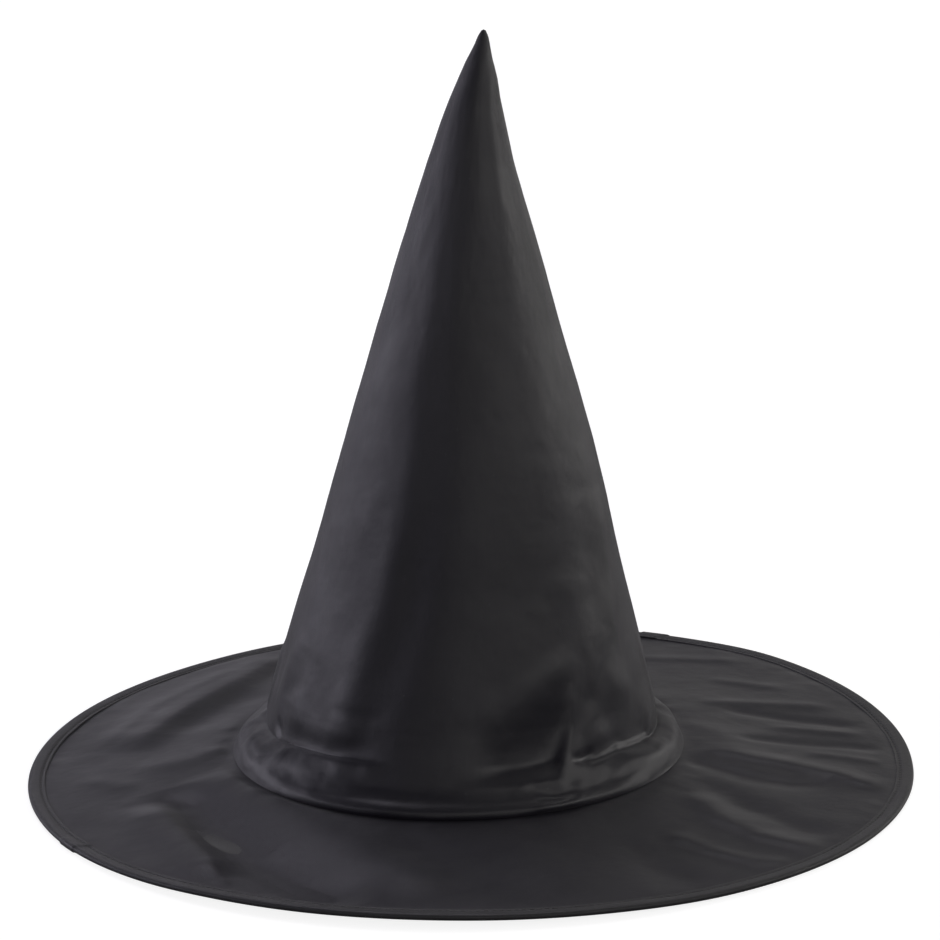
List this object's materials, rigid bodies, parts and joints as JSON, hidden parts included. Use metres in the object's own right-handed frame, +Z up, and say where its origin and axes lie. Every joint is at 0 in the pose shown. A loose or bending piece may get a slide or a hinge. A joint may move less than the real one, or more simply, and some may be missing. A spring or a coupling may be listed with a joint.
{
  "type": "witch hat",
  "caption": "Tall pointed black cloth hat with a wide round wire-edged brim, worn as costume; its cone folds over and its tip flops.",
  "frame": {"origin": "centre of the brim's bound rim, on the flat plane the rim rests on", "axes": "+Z up towards the point, -Y is the front, +Y the back where the crown's seam runs, +X is the side the cone leans towards"},
  "size_m": [0.38, 0.38, 0.32],
  "materials": {
    "satin": "black polyester satin, soft sheen",
    "binding": "black satin bias strip",
    "stiffener": "black non-woven felt, matt",
    "liner": "black non-woven felt, matt",
    "ribbon": "black ribbed ribbon",
    "tape": "black cotton tape",
    "thread": "black polyester thread",
    "label": "blank white satin ribbon",
    "spring_steel": "drawn spring steel",
    "sleeve_steel": "zinc-plated crimped sleeve"
  },
  "bodies": {
    "hat_body": {"brim_top_cover": "satin", "brim_stiffener": "stiffener", "brim_under_cover": "satin", "rim_binding": "binding", "rim_edge_stitching": "thread", "rim_wire": "spring_steel", "rim_wire_sleeve": "sleeve_steel", "crown_cover_lower": "satin", "crown_liner_lower": "liner", "back_seam_thread_lower": "thread", "sweatband": "ribbon", "head_seam_tape": "tape", "head_seam_stitching": "thread", "care_label_stitch": "thread"},
    "crown_middle": {"crown_cover_middle": "satin", "crown_liner_middle": "liner", "back_seam_thread_middle": "thread"},
    "crown_tip": {"crown_cover_tip": "satin", "crown_liner_tip": "liner", "back_seam_thread_tip": "thread"},
    "label": {"care_label": "label"}
  },
  "joints": [
    {"name": "crown_bend", "type": "hinge", "parent": "hat_body", "child": "crown_middle", "pos_m": [0.00153, 0, 0.15], "axis": [0, 1, 0], "range_deg": [-36, 36], "stiffness_Nm_per_rad": 0.06},
    {"name": "tip_flop", "type": "hinge", "parent": "crown_middle", "child": "crown_tip", "pos_m": [0.00358, 0, 0.235], "axis": [0, 1, 0], "range_deg": [-48, 48], "stiffness_Nm_per_rad": 0.012},
    {"name": "care_label_flip", "type": "hinge", "parent": "hat_body", "child": "label", "pos_m": [-0.00227, 0.0716, 0.0628], "axis": [1, 0, 0], "range_deg": [-90, 12]}
  ]
}
